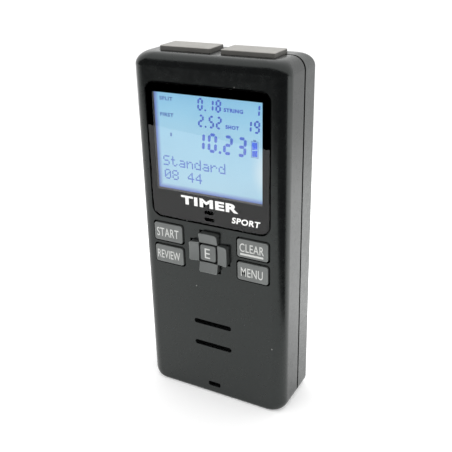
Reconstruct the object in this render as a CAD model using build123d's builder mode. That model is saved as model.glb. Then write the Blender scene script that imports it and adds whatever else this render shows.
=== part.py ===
from build123d import *
import os
from math import sqrt

os.makedirs("parts", exist_ok=True)

# Pocket shot timer. Millimetres. Origin at the middle of the base, +Z up,
# display faces -Y, +X is the side the reader's right hand meets.

# ---------------------------------------------------------------- sizes
CASE_W = 44.3          # width of the case
CASE_H = 100.0         # height of the case
CASE_D = 18.6          # depth of the case
Y_FRONT = -CASE_D / 2  # outside of the front wall
Y_REAR = CASE_D / 2    # outside of the rear wall
Y_SPLIT = 1.6          # middle of the parting groove
GROOVE = 0.80          # width of the parting groove
WALL = 1.6             # side wall thickness
FRONT_WALL = 2.0       # front wall thickness
Y_IN = Y_FRONT + FRONT_WALL

R_SIDE_FRONT = 3.6     # rounding of the upright front edges
R_SIDE_REAR = 1.5      # rounding of the upright rear edges
R_TOP_FRONT = 3.2      # rounding of the front top edge
R_TOP_REAR = 3.6
R_LOW_FRONT = 1.1      # rounding of the front bottom edge
R_LOW_REAR = 1.0
R_CORNER_TOP = 3.6     # corner seen from the front, top
R_CORNER_LOW = 2.8     # corner seen from the front, bottom

WIN_W = 35.8           # display window
WIN_Z0, WIN_Z1 = 55.4, 92.9
WIN_T = 0.5
WIN_SUNK = 0.10        # window face below the case face
VIEW_W = 31.8          # clear area of the mask
VIEW_X = -0.3          # middle of the clear area
VIEW_Z0, VIEW_Z1 = 63.4, 90.2
MIC_Z = (58.97, 56.97) # microphone slots

KEY_X = 13.05          # middle of the legend keys
KEY_W, KEY_H = 9.1, 5.3
KEY_Z_UP, KEY_Z_LOW = 50.8, 44.0
KEY_PROUD = 0.6
KEY_TRAVEL = 0.6
KEY_GAP = 0.45         # gap between a key and its hole

PAD_Z = 47.4           # middle of the direction pad
PAD_R = 5.8           # half span of the cross
PAD_ARM = 5.6          # width of one arm
PAD_TILT = 2.5         # degrees each way
PIVOT_Y = -6.1         # depth of the pad's rocking centre

BOARD_Y0, BOARD_Y1 = -4.6, -3.6   # main board faces
MAT_Y0 = -5.1                     # front face of the keypad mat

SND_Z = 20.7           # middle of the sounder
CELL_R, CELL_L = 5.25, 44.5
CELL_Y = 2.5
CELL_X = (-10.6, 0.0, 10.6)
BAY_X, BAY_Z0, BAY_Z1 = 16.2, 5.8, 55.2

BTN_X0, BTN_X1 = 1.55, 16.4       # top buttons, inner and outer end
BTN_Y0, BTN_Y1 = -3.75, 3.9
BTN_TOP = 101.1
BTN_TRAVEL = 0.5

SCREW_AT = ((-18.5, 94.3), (18.5, 94.3), (-18.5, 4.0), (18.5, 4.0))
BOARD_SCREW_AT = ((-18.7, 58.0), (18.7, 58.0), (-18.7, 12.0), (18.7, 12.0))

JACK_Y = -1.1
AUDIO_Z, CHARGE_Z = 84.0, 70.0


def facing(y):
    # sketch plane at depth y: local x is +X, local y is +Z, extrude(-d) runs to the rear
    return Plane.XZ.offset(-y)


def inset(r, run):
    # how far a rounding of radius r has drawn in at height `run` above its edge
    if run >= r:
        return 0.0
    return r - sqrt(r * r - (r - run) ** 2)


# ---------------------------------------------------------------- outer form
with BuildPart() as blank:
    # base: first the band with the small front and rear roundings, then the corners alone
    for band in ((0.0, 0.02, 0.08, 0.18, 0.33, 0.55, 0.80, 1.1), (1.1, 1.4, 1.8, 2.3, 2.8)):
        for z in band:
            s = inset(R_CORNER_LOW, z)
            f = inset(R_LOW_FRONT, z)
            b = inset(R_LOW_REAR, z)
            with BuildSketch(Plane.XY.offset(z)):
                with Locations((0, (f - b) / 2)):
                    Rectangle(CASE_W - 2 * s, CASE_D - f - b)
                fillet(vertices().group_by(Axis.Y)[0], R_SIDE_FRONT)
                fillet(vertices().group_by(Axis.Y)[-1], R_SIDE_REAR)
        loft()
    with BuildSketch(Plane.XY.offset(R_CORNER_LOW)):
        Rectangle(CASE_W, CASE_D)
        fillet(vertices().group_by(Axis.Y)[0], R_SIDE_FRONT)
        fillet(vertices().group_by(Axis.Y)[-1], R_SIDE_REAR)
    extrude(amount=CASE_H - R_CORNER_TOP - R_CORNER_LOW)
    # top: corners and rear first, then the front rounding as well
    for band in ((3.6, 3.5, 3.35, 3.2), (3.2, 2.7, 2.2, 1.7, 1.2, 0.9, 0.6, 0.35, 0.16, 0.04, 0.0)):
        for d in band:
            s = inset(R_CORNER_TOP, d)
            f = inset(R_TOP_FRONT, d)
            b = inset(R_TOP_REAR, d)
            with BuildSketch(Plane.XY.offset(CASE_H - d)):
                with Locations((0, (f - b) / 2)):
                    Rectangle(CASE_W - 2 * s, CASE_D - f - b)
                fillet(vertices().group_by(Axis.Y)[0], R_SIDE_FRONT)
                fillet(vertices().group_by(Axis.Y)[-1], R_SIDE_REAR)
        loft()

# ---------------------------------------------------------------- front case
with BuildPart() as front_case:
    add(blank.part)
    # everything behind the parting groove goes
    with BuildSketch(facing(Y_SPLIT - GROOVE / 2)):
        with Locations((0, CASE_H / 2)):
            Rectangle(80, 140)
    extrude(amount=-20, mode=Mode.SUBTRACT)
    # main hollow
    with BuildSketch(facing(Y_IN)):
        with Locations((0, CASE_H / 2)):
            Rectangle(CASE_W - 2 * WALL, CASE_H - 2 * WALL)
        fillet(vertices().group_by(Axis.Y)[-1], R_CORNER_TOP - WALL)
        fillet(vertices().group_by(Axis.Y)[0], R_CORNER_LOW - WALL)
    extrude(amount=-12, mode=Mode.SUBTRACT)
    # rebate that takes the lip of the rear case
    with BuildSketch(facing(-0.6)):
        with Locations((0, CASE_H / 2)):
            Rectangle(CASE_W - 1.6, CASE_H - 1.6)
        fillet(vertices().group_by(Axis.Y)[-1], R_CORNER_TOP - 0.8)
        fillet(vertices().group_by(Axis.Y)[0], R_CORNER_LOW - 0.8)
    extrude(amount=-12, mode=Mode.SUBTRACT)
    # screw bosses and board posts
    with BuildSketch(facing(Y_IN - 0.1)):
        with Locations(*SCREW_AT):
            Circle(1.7)
    extrude(amount=-(1.3 - Y_IN + 0.1))
    with BuildSketch(facing(Y_IN - 0.1)):
        with Locations(*BOARD_SCREW_AT):
            Circle(1.6)
    extrude(amount=-(BOARD_Y0 - Y_IN + 0.1))
    # block that closes the lanyard passage from the inside
    with BuildSketch(facing(Y_IN - 0.1)):
        with Locations((0, 3.4)):
            Rectangle(6.8, 4.6)
    extrude(amount=-3.2)
    # locating ribs round the sounder
    with BuildSketch(facing(Y_IN - 0.1)):
        with Locations((0, SND_Z)):
            Circle(11.0)
            Circle(10.15, mode=Mode.SUBTRACT)
    extrude(amount=-1.3)
    # pilot holes
    with BuildSketch(facing(Y_IN + 1.3)):
        with Locations(*SCREW_AT):
            Circle(0.85)
    extrude(amount=-12, mode=Mode.SUBTRACT)
    with BuildSketch(facing(Y_IN + 0.5)):
        with Locations(*BOARD_SCREW_AT):
            Circle(0.65)
    extrude(amount=-5, mode=Mode.SUBTRACT)
    # window recess, then the opening for the display glass
    with BuildSketch(facing(Y_FRONT - 1)):
        with Locations((0, (WIN_Z0 + WIN_Z1) / 2)):
            Rectangle(WIN_W + 0.5, WIN_Z1 - WIN_Z0 + 0.5)
        fillet(vertices().group_by(Axis.Y)[-1], 2.6)
        fillet(vertices().group_by(Axis.Y)[0], 3.1)
    extrude(amount=-(1 + WIN_SUNK + WIN_T + 0.2), mode=Mode.SUBTRACT)
    with BuildSketch(facing(Y_FRONT)):
        with Locations((0, 77.0)):
            RectangleRounded(33.4, 29.2, 0.6)
    extrude(amount=-4, mode=Mode.SUBTRACT)
    # microphone slots
    with BuildSketch(facing(Y_FRONT)):
        with Locations(*[(0, z) for z in MIC_Z]):
            SlotOverall(3.2, 1.2)
    extrude(amount=-4, mode=Mode.SUBTRACT)
    # key openings
    with BuildSketch(facing(Y_FRONT - 1)):
        with Locations((-KEY_X, KEY_Z_UP), (KEY_X, KEY_Z_UP), (-KEY_X, KEY_Z_LOW), (KEY_X, KEY_Z_LOW)):
            RectangleRounded(KEY_W + 2 * KEY_GAP, KEY_H + 2 * KEY_GAP, 1.0)
    extrude(amount=-5, mode=Mode.SUBTRACT)
    with BuildSketch(facing(Y_FRONT - 1)):
        with Locations((0, PAD_Z)):
            Rectangle(2 * PAD_R + 0.8, PAD_ARM + 0.8)
            Rectangle(PAD_ARM + 0.8, 2 * PAD_R + 0.8)
    extrude(amount=-5, mode=Mode.SUBTRACT)
    # sounder slots
    with BuildSketch(facing(Y_FRONT - 1)):
        with Locations((0, SND_Z + 3.6), (0, SND_Z - 3.6)):
            SlotOverall(12.0, 1.5)
    extrude(amount=-5, mode=Mode.SUBTRACT)
    # lanyard passage: in at the front face, out at the base, round a bar
    with BuildSketch(facing(Y_FRONT - 1)):
        with Locations((0, 3.5)):
            RectangleRounded(4.0, 1.5, 0.5)
    extrude(amount=-4.8, mode=Mode.SUBTRACT)
    with BuildSketch(Plane.XY.offset(-1)):
        with Locations((0, -6.3)):
            RectangleRounded(4.0, 1.6, 0.5)
    extrude(amount=5.2, mode=Mode.SUBTRACT)
    # openings for the two top buttons, shared with the rear case
    with BuildSketch(Plane.XY.offset(96)):
        with Locations((-(BTN_X0 + BTN_X1) / 2, (BTN_Y0 + BTN_Y1) / 2), ((BTN_X0 + BTN_X1) / 2, (BTN_Y0 + BTN_Y1) / 2)):
            RectangleRounded(BTN_X1 - BTN_X0 + 0.4, BTN_Y1 - BTN_Y0 + 0.4, 0.6)
    extrude(amount=8, mode=Mode.SUBTRACT)
    # holes for the two sockets in the left wall
    with BuildSketch(Plane.YZ.offset(-23)):
        with Locations((JACK_Y, AUDIO_Z), (JACK_Y, CHARGE_Z)):
            Circle(2.75)
    extrude(amount=2.5, mode=Mode.SUBTRACT)
front_case.part.label = "front_case"
export_step(front_case.part, "parts/front_case.step")

# ---------------------------------------------------------------- rear case
with BuildPart() as rear_case:
    add(blank.part)
    with BuildSketch(facing(Y_SPLIT + GROOVE / 2)):
        with Locations((0, CASE_H / 2)):
            Rectangle(80, 140)
    extrude(amount=20, mode=Mode.SUBTRACT)
    with BuildSketch(facing(Y_SPLIT - 1)):
        with Locations((0, CASE_H / 2)):
            Rectangle(CASE_W - 2 * WALL, CASE_H - 2 * WALL)
        fillet(vertices().group_by(Axis.Y)[-1], R_CORNER_TOP - WALL)
        fillet(vertices().group_by(Axis.Y)[0], R_CORNER_LOW - WALL)
    extrude(amount=-(Y_REAR - WALL - Y_SPLIT + 1), mode=Mode.SUBTRACT)
    # lip that reaches into the front case
    with BuildSketch(facing(-0.5)):
        with Locations((0, CASE_H / 2)):
            Rectangle(CASE_W - 1.8, CASE_H - 1.8)
        fillet(vertices().group_by(Axis.Y)[-1], R_CORNER_TOP - 0.9)
        fillet(vertices().group_by(Axis.Y)[0], R_CORNER_LOW - 0.9)
        with Locations((0, CASE_H / 2)):
            RectangleRounded(CASE_W - 2 * WALL, CASE_H - 2 * WALL, 3.0, mode=Mode.SUBTRACT)
    extrude(amount=-3.0)
    # battery bay
    with BuildSketch(facing(-3.4)):
        with Locations((0, (BAY_Z0 + BAY_Z1) / 2 + 0.15)):
            Rectangle(2 * BAY_X + 1.8, BAY_Z1 - BAY_Z0 + 1.5)
    extrude(amount=-(7.7 + 3.4))
    # sills under the ends of the door
    with BuildSketch(facing(6.4)):
        with Locations((0, 3.35)):
            Rectangle(34.6, 4.9)
        with Locations((0, 56.6)):
            Rectangle(34.6, 2.8)
    extrude(amount=-1.5)
    # screw columns
    with BuildSketch(facing(Y_SPLIT + 0.0)):
        with Locations(*SCREW_AT):
            Circle(2.25)
    extrude(amount=-(8.0 - Y_SPLIT))
    with BuildSketch(facing(-3.0)):
        with Locations(*SCREW_AT):
            Circle(1.0)
    extrude(amount=-14, mode=Mode.SUBTRACT)
    with BuildSketch(facing(4.7)):
        with Locations(*SCREW_AT):
            Circle(1.65)
    extrude(amount=-8, mode=Mode.SUBTRACT)
    # bay hollow, open to the rear
    with BuildSketch(facing(-2.8)):
        with Locations((0, (BAY_Z0 + BAY_Z1) / 2)):
            Rectangle(2 * BAY_X, BAY_Z1 - BAY_Z0)
    extrude(amount=-14, mode=Mode.SUBTRACT)
    # door recess and its side grooves, open at the base
    with BuildSketch(facing(7.8)):
        with Locations((0, 27.05)):
            Rectangle(32.2, 60.1)
    extrude(amount=-4, mode=Mode.SUBTRACT)
    with BuildSketch(facing(7.9)):
        with Locations((0, 27.05)):
            Rectangle(33.0, 60.1)
    extrude(amount=-0.75, mode=Mode.SUBTRACT)
    # slits for the two solder tabs
    with BuildSketch(facing(-4)):
        with Locations((-10.6, 55.05), (10.6, 5.95)):
            Rectangle(2.2, 0.5)
    extrude(amount=-2.5, mode=Mode.SUBTRACT)
    # half openings shared with the front case
    with BuildSketch(Plane.XY.offset(96)):
        with Locations((-(BTN_X0 + BTN_X1) / 2, (BTN_Y0 + BTN_Y1) / 2), ((BTN_X0 + BTN_X1) / 2, (BTN_Y0 + BTN_Y1) / 2)):
            RectangleRounded(BTN_X1 - BTN_X0 + 0.4, BTN_Y1 - BTN_Y0 + 0.4, 0.6)
    extrude(amount=8, mode=Mode.SUBTRACT)
    with BuildSketch(Plane.YZ.offset(-23)):
        with Locations((JACK_Y, AUDIO_Z), (JACK_Y, CHARGE_Z)):
            Circle(2.75)
    extrude(amount=2.5, mode=Mode.SUBTRACT)
rear_case.part.label = "rear_case"
export_step(rear_case.part, "parts/rear_case.step")

# ---------------------------------------------------------------- battery door
with BuildPart() as battery_door:
    add(blank.part)
    with BuildSketch(facing(Y_FRONT - 1)):
        with Locations((0, CASE_H / 2)):
            Rectangle(60, 140)
    extrude(amount=-(7.9 - Y_FRONT + 1), mode=Mode.SUBTRACT)
    with BuildSketch(facing(7.9)):
        with Locations((0, 28.5)):
            Rectangle(32.0, 57.0)
    extrude(amount=-3, mode=Mode.INTERSECT)
    with BuildSketch(facing(8.0)):
        with Locations((0, 29.4)):
            Rectangle(32.8, 55.0)
    extrude(amount=-0.55)
    # grip grooves near the upper end
    with BuildSketch(facing(8.9)):
        with Locations(*[(0, 43.0 + 1.7 * i) for i in range(6)]):
            SlotOverall(13.0, 0.8)
    extrude(amount=-1, mode=Mode.SUBTRACT)
battery_door.part.label = "battery_door"
export_step(battery_door.part, "parts/battery_door.step")

# ---------------------------------------------------------------- case screws
with BuildPart() as case_screws:
    with BuildSketch(facing(4.7)):
        with Locations(*SCREW_AT):
            Circle(0.84)
    extrude(amount=9.2)
    with BuildSketch(facing(4.7)):
        with Locations(*SCREW_AT):
            Circle(1.5)
    extrude(amount=-1.1)
    chamfer(edges().filter_by(GeomType.CIRCLE).group_by(Axis.Y)[-1], 0.25)
    with BuildSketch(facing(5.2)):
        with Locations(*SCREW_AT):
            Rectangle(2.0, 0.4)
            Rectangle(0.4, 2.0)
    extrude(amount=-2, mode=Mode.SUBTRACT)
case_screws.part.label = "case_screws"
export_step(case_screws.part, "parts/case_screws.step")

# ---------------------------------------------------------------- display window stack
Y_WIN = Y_FRONT + WIN_SUNK
with BuildPart() as display_window:
    with BuildSketch(facing(Y_WIN)):
        with Locations((0, (WIN_Z0 + WIN_Z1) / 2)):
            Rectangle(WIN_W, WIN_Z1 - WIN_Z0)
        fillet(vertices().group_by(Axis.Y)[-1], 2.4)
        fillet(vertices().group_by(Axis.Y)[0], 2.9)
        with Locations(*[(0, z) for z in MIC_Z]):
            SlotOverall(2.9, 1.0, mode=Mode.SUBTRACT)
    extrude(amount=-WIN_T)
    chamfer(faces().sort_by(Axis.Y)[0].outer_wire().edges(), 0.2)
display_window.part.label = "display_window"
export_step(display_window.part, "parts/display_window.step")

Y_MASK = Y_WIN + WIN_T
with BuildPart() as window_mask:
    with BuildSketch(facing(Y_MASK)):
        with Locations((0, (WIN_Z0 + WIN_Z1) / 2)):
            Rectangle(WIN_W, WIN_Z1 - WIN_Z0)
        fillet(vertices().group_by(Axis.Y)[-1], 2.4)
        fillet(vertices().group_by(Axis.Y)[0], 2.9)
        with Locations((VIEW_X, (VIEW_Z0 + VIEW_Z1) / 2)):
            Rectangle(VIEW_W, VIEW_Z1 - VIEW_Z0, mode=Mode.SUBTRACT)
        with Locations(*[(0, z) for z in MIC_Z]):
            SlotOverall(2.9, 1.0, mode=Mode.SUBTRACT)
    extrude(amount=-0.1)
window_mask.part.label = "window_mask"
export_step(window_mask.part, "parts/window_mask.step")

with BuildPart() as window_tape:
    with BuildSketch(facing(Y_MASK + 0.1)):
        with Locations((0, (WIN_Z0 + WIN_Z1) / 2)):
            Rectangle(WIN_W - 0.4, WIN_Z1 - WIN_Z0 - 0.4)
        fillet(vertices().group_by(Axis.Y)[-1], 2.2)
        fillet(vertices().group_by(Axis.Y)[0], 2.7)
        with Locations((0, 77.0)):
            Rectangle(33.6, 29.4, mode=Mode.SUBTRACT)
        with Locations(*[(0, z) for z in MIC_Z]):
            SlotOverall(3.6, 1.5, mode=Mode.SUBTRACT)
    extrude(amount=-0.1)
window_tape.part.label = "window_tape"
export_step(window_tape.part, "parts/window_tape.step")

with BuildPart() as display_polariser:
    with BuildSketch(facing(-7.80)):
        with Locations((0, 77.35)):
            Rectangle(32.4, 27.5)
    extrude(amount=-0.15)
display_polariser.part.label = "display_polariser"
export_step(display_polariser.part, "parts/display_polariser.step")

with BuildPart() as display_front_glass:
    with BuildSketch(facing(-7.65)):
        with Locations((0, 77.0)):
            Rectangle(33.0, 28.8)
    extrude(amount=-0.7)
display_front_glass.part.label = "display_front_glass"
export_step(display_front_glass.part, "parts/display_front_glass.step")

with BuildPart() as display_rear_glass:
    with BuildSketch(facing(-6.95)):
        with Locations((0, 78.05)):
            Rectangle(33.0, 26.7)
    extrude(amount=-0.7)
display_rear_glass.part.label = "display_rear_glass"
export_step(display_rear_glass.part, "parts/display_rear_glass.step")

with BuildPart() as display_frame:
    with BuildSketch(facing(-7.25)):
        with Locations((0, 76.75)):
            RectangleRounded(36.6, 31.1, 0.8)
        with Locations((0, 77.0)):
            Rectangle(33.2, 29.2, mode=Mode.SUBTRACT)
    extrude(amount=-(BOARD_Y0 + 7.25))
display_frame.part.label = "display_frame"
export_step(display_frame.part, "parts/display_frame.step")

with BuildPart() as backlight_panel:
    with BuildSketch(facing(-6.2)):
        with Locations((0, 78.05)):
            Rectangle(33.0, 26.7)
        with Locations((-8.0, 90.9), (8.0, 90.9)):
            Rectangle(3.4, 1.6, mode=Mode.SUBTRACT)
    extrude(amount=-1.55)
backlight_panel.part.label = "backlight_panel"
export_step(backlight_panel.part, "parts/backlight_panel.step")

with BuildPart() as backlight_lamps:
    with BuildSketch(facing(BOARD_Y0)):
        with Locations((-8.0, 90.8), (8.0, 90.8)):
            Rectangle(3.0, 1.1)
    extrude(amount=1.2)
backlight_lamps.part.label = "backlight_lamps"
export_step(backlight_lamps.part, "parts/backlight_lamps.step")

with BuildPart() as elastomer_strip:
    with BuildSketch(facing(-6.95)):
        with Locations((0, 63.5)):
            Rectangle(30.0, 1.8)
    extrude(amount=-(BOARD_Y0 + 6.95))
elastomer_strip.part.label = "elastomer_strip"
export_step(elastomer_strip.part, "parts/elastomer_strip.step")

# ---------------------------------------------------------------- legend keys
FLANGE_Y0, FLANGE_Y1 = Y_IN + 0.05, Y_IN + 0.45
STEM_END = -5.5

with BuildPart() as start_key:
    with BuildSketch(facing(Y_FRONT - KEY_PROUD)):
        with Locations((-KEY_X, KEY_Z_UP)):
            RectangleRounded(KEY_W, KEY_H, 0.7)
    extrude(amount=-(FLANGE_Y1 - Y_FRONT + KEY_PROUD))
    fillet(faces().sort_by(Axis.Y)[0].edges(), 0.45)
    with BuildSketch(facing(FLANGE_Y0)):
        with Locations((-KEY_X, KEY_Z_UP)):
            Rectangle(KEY_W + 1.7, KEY_H - 0.6)
    extrude(amount=-(FLANGE_Y1 - FLANGE_Y0))
    with BuildSketch(facing(FLANGE_Y1 - 0.1)):
        with Locations((-KEY_X, KEY_Z_UP)):
            Circle(1.6)
    extrude(amount=-(STEM_END - FLANGE_Y1 + 0.1))
start_key.part.label = "start_key"
export_step(start_key.part, "parts/start_key.step")

with BuildPart() as review_key:
    with BuildSketch(facing(Y_FRONT - KEY_PROUD)):
        with Locations((-KEY_X, KEY_Z_LOW)):
            RectangleRounded(KEY_W, KEY_H, 0.7)
    extrude(amount=-(FLANGE_Y1 - Y_FRONT + KEY_PROUD))
    fillet(faces().sort_by(Axis.Y)[0].edges(), 0.45)
    with BuildSketch(facing(FLANGE_Y0)):
        with Locations((-KEY_X, KEY_Z_LOW)):
            Rectangle(KEY_W + 1.7, KEY_H - 0.6)
    extrude(amount=-(FLANGE_Y1 - FLANGE_Y0))
    with BuildSketch(facing(FLANGE_Y1 - 0.1)):
        with Locations((-KEY_X, KEY_Z_LOW)):
            Circle(1.6)
    extrude(amount=-(STEM_END - FLANGE_Y1 + 0.1))
review_key.part.label = "review_key"
export_step(review_key.part, "parts/review_key.step")

with BuildPart() as clear_key:
    with BuildSketch(facing(Y_FRONT - KEY_PROUD)):
        with Locations((KEY_X, KEY_Z_UP)):
            RectangleRounded(KEY_W, KEY_H, 0.7)
    extrude(amount=-(FLANGE_Y1 - Y_FRONT + KEY_PROUD))
    fillet(faces().sort_by(Axis.Y)[0].edges(), 0.45)
    with BuildSketch(facing(FLANGE_Y0)):
        with Locations((KEY_X, KEY_Z_UP)):
            Rectangle(KEY_W + 1.7, KEY_H - 0.6)
    extrude(amount=-(FLANGE_Y1 - FLANGE_Y0))
    with BuildSketch(facing(FLANGE_Y1 - 0.1)):
        with Locations((KEY_X, KEY_Z_UP)):
            Circle(1.6)
    extrude(amount=-(STEM_END - FLANGE_Y1 + 0.1))
clear_key.part.label = "clear_key"
export_step(clear_key.part, "parts/clear_key.step")

with BuildPart() as menu_key:
    with BuildSketch(facing(Y_FRONT - KEY_PROUD)):
        with Locations((KEY_X, KEY_Z_LOW)):
            RectangleRounded(KEY_W, KEY_H, 0.7)
    extrude(amount=-(FLANGE_Y1 - Y_FRONT + KEY_PROUD))
    fillet(faces().sort_by(Axis.Y)[0].edges(), 0.45)
    with BuildSketch(facing(FLANGE_Y0)):
        with Locations((KEY_X, KEY_Z_LOW)):
            Rectangle(KEY_W + 1.7, KEY_H - 0.6)
    extrude(amount=-(FLANGE_Y1 - FLANGE_Y0))
    with BuildSketch(facing(FLANGE_Y1 - 0.1)):
        with Locations((KEY_X, KEY_Z_LOW)):
            Circle(1.6)
    extrude(amount=-(STEM_END - FLANGE_Y1 + 0.1))
menu_key.part.label = "menu_key"
export_step(menu_key.part, "parts/menu_key.step")

# ---------------------------------------------------------------- direction pad
with BuildPart() as direction_pad:
    # cross
    with BuildSketch(facing(-11.6)):
        with Locations((0, PAD_Z)):
            RectangleRounded(2 * PAD_R, PAD_ARM, 0.6)
            RectangleRounded(PAD_ARM, 2 * PAD_R, 0.6)
    extrude(amount=-(11.6 - 6.3))
    # dished face
    with Locations((0, -29.55, PAD_Z)):
        Sphere(19.4, mode=Mode.SUBTRACT)
    chamfer(faces().filter_by(GeomType.SPHERE).edges(), 0.3)
    # hole for the centre key
    with BuildSketch(facing(-12)):
        with Locations((0, PAD_Z + 0.1)):
            RectangleRounded(5.8, 5.8, 0.3)
    extrude(amount=-(12 - 6.85), mode=Mode.SUBTRACT)
    # base plate that keeps it behind the wall
    with BuildSketch(facing(-6.85)):
        with Locations((0, PAD_Z)):
            Circle(6.7)
    extrude(amount=-0.55)
    # four plungers
    with BuildSketch(facing(-6.4)):
        with Locations((4.6, PAD_Z), (-4.6, PAD_Z), (0, PAD_Z + 4.6), (0, PAD_Z - 4.6)):
            Circle(0.8)
    extrude(amount=-1.3)
    # way through for the centre key's stem
    with BuildSketch(facing(-12)):
        with Locations((0, PAD_Z + 0.1)):
            Circle(1.9)
    extrude(amount=-8, mode=Mode.SUBTRACT)
direction_pad.part.label = "direction_pad"
export_step(direction_pad.part, "parts/direction_pad.step")

with BuildPart() as pad_pivot:
    with BuildSketch(facing(-6.05)):
        with Locations((0, PAD_Z)):
            Circle(3.4)
            Circle(2.65, mode=Mode.SUBTRACT)
    extrude(amount=-0.7)
pad_pivot.part.label = "pad_pivot"
export_step(pad_pivot.part, "parts/pad_pivot.step")

ENTER_Z = PAD_Z + 0.1
with BuildPart() as enter_key:
    with BuildSketch(facing(-10.7)):
        with Locations((0, ENTER_Z)):
            RectangleRounded(4.8, 4.7, 0.6)
    extrude(amount=-2.7)
    fillet(faces().sort_by(Axis.Y)[0].edges(), 0.4)
    with BuildSketch(facing(-8.1)):
        with Locations((0, ENTER_Z)):
            Circle(1.4)
    extrude(amount=-(8.1 + STEM_END))
    with BuildSketch(facing(-5.95)):
        with Locations((0, ENTER_Z)):
            Circle(2.3)
    extrude(amount=-0.3)
enter_key.part.label = "enter_key"
export_step(enter_key.part, "parts/enter_key.step")

# ---------------------------------------------------------------- contact pills
with BuildPart() as start_pill:
    with BuildSketch(facing(STEM_END)):
        with Locations((-KEY_X, KEY_Z_UP)):
            Circle(1.3)
    extrude(amount=-0.25)
start_pill.part.label = "start_pill"
export_step(start_pill.part, "parts/start_pill.step")

with BuildPart() as review_pill:
    with BuildSketch(facing(STEM_END)):
        with Locations((-KEY_X, KEY_Z_LOW)):
            Circle(1.3)
    extrude(amount=-0.25)
review_pill.part.label = "review_pill"
export_step(review_pill.part, "parts/review_pill.step")

with BuildPart() as clear_pill:
    with BuildSketch(facing(STEM_END)):
        with Locations((KEY_X, KEY_Z_UP)):
            Circle(1.3)
    extrude(amount=-0.25)
clear_pill.part.label = "clear_pill"
export_step(clear_pill.part, "parts/clear_pill.step")

with BuildPart() as menu_pill:
    with BuildSketch(facing(STEM_END)):
        with Locations((KEY_X, KEY_Z_LOW)):
            Circle(1.3)
    extrude(amount=-0.25)
menu_pill.part.label = "menu_pill"
export_step(menu_pill.part, "parts/menu_pill.step")

with BuildPart() as enter_pill:
    with BuildSketch(facing(STEM_END)):
        with Locations((0, ENTER_Z)):
            Circle(1.2)
    extrude(amount=-0.25)
enter_pill.part.label = "enter_pill"
export_step(enter_pill.part, "parts/enter_pill.step")

with BuildPart() as pad_pills:
    with BuildSketch(facing(-5.1)):
        with Locations((4.6, PAD_Z), (-4.6, PAD_Z), (0, PAD_Z + 4.6), (0, PAD_Z - 4.6)):
            Circle(0.65)
    extrude(amount=-0.23)
pad_pills.part.label = "pad_pills"
export_step(pad_pills.part, "parts/pad_pills.step")

with BuildPart() as keypad_mat:
    with BuildSketch(facing(MAT_Y0)):
        with Locations((0, 47.3)):
            RectangleRounded(38.4, 15.0, 1.0)
        with Locations((-KEY_X, KEY_Z_UP), (KEY_X, KEY_Z_UP), (-KEY_X, KEY_Z_LOW), (KEY_X, KEY_Z_LOW)):
            Circle(1.95, mode=Mode.SUBTRACT)
        with Locations((0, ENTER_Z)):
            Circle(2.65, mode=Mode.SUBTRACT)
        with Locations((4.6, PAD_Z), (-4.6, PAD_Z), (0, PAD_Z + 4.6), (0, PAD_Z - 4.6)):
            Circle(1.1, mode=Mode.SUBTRACT)
    extrude(amount=-(BOARD_Y0 - MAT_Y0))
    # raised collars round the legend key wells
    with BuildSketch(facing(MAT_Y0 - 0.35)):
        with Locations((-KEY_X, KEY_Z_UP), (KEY_X, KEY_Z_UP), (-KEY_X, KEY_Z_LOW), (KEY_X, KEY_Z_LOW)):
            Circle(2.7)
            Circle(1.95, mode=Mode.SUBTRACT)
    extrude(amount=-0.4)
keypad_mat.part.label = "keypad_mat"
export_step(keypad_mat.part, "parts/keypad_mat.step")

# ---------------------------------------------------------------- top buttons and switches
BTN_XM = (BTN_X0 + BTN_X1) / 2
BTN_YM = (BTN_Y0 + BTN_Y1) / 2
SW_Y = -1.9

with BuildPart() as top_button_left:
    with BuildSketch(Plane.XY.offset(97.5)):
        with Locations((-BTN_XM, BTN_YM)):
            RectangleRounded(BTN_X1 - BTN_X0, BTN_Y1 - BTN_Y0, 0.4)
    extrude(amount=BTN_TOP - 97.5)
    fillet(faces().sort_by(Axis.Z)[-1].edges(), 0.25)
    with BuildSketch(Plane.XY.offset(97.5)):
        with Locations((-BTN_XM, BTN_YM)):
            RectangleRounded(BTN_X1 - BTN_X0 + 1.2, BTN_Y1 - BTN_Y0 + 1.2, 1.2)
    extrude(amount=0.75)
    with BuildSketch(Plane.XY.offset(96.3)):
        with Locations((-BTN_XM, SW_Y)):
            Circle(1.2)
    extrude(amount=1.4)
top_button_left.part.label = "top_button_left"
export_step(top_button_left.part, "parts/top_button_left.step")

with BuildPart() as top_button_right:
    with BuildSketch(Plane.XY.offset(97.5)):
        with Locations((BTN_XM, BTN_YM)):
            RectangleRounded(BTN_X1 - BTN_X0, BTN_Y1 - BTN_Y0, 0.4)
    extrude(amount=BTN_TOP - 97.5)
    fillet(faces().sort_by(Axis.Z)[-1].edges(), 0.25)
    with BuildSketch(Plane.XY.offset(97.5)):
        with Locations((BTN_XM, BTN_YM)):
            RectangleRounded(BTN_X1 - BTN_X0 + 1.2, BTN_Y1 - BTN_Y0 + 1.2, 1.2)
    extrude(amount=0.75)
    with BuildSketch(Plane.XY.offset(96.3)):
        with Locations((BTN_XM, SW_Y)):
            Circle(1.2)
    extrude(amount=1.4)
top_button_right.part.label = "top_button_right"
export_step(top_button_right.part, "parts/top_button_right.step")

with BuildPart() as top_switches:
    with BuildSketch(Plane.XY.offset(91.4)):
        with Locations((-BTN_XM, SW_Y), (BTN_XM, SW_Y)):
            Rectangle(6.0, 3.4)
    extrude(amount=4.0)
    with BuildSketch(Plane.XY.offset(93.6)):
        with Locations((-BTN_XM, SW_Y), (BTN_XM, SW_Y)):
            Circle(0.88)
    extrude(amount=4.0, mode=Mode.SUBTRACT)
top_switches.part.label = "top_switches"
export_step(top_switches.part, "parts/top_switches.step")

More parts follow.
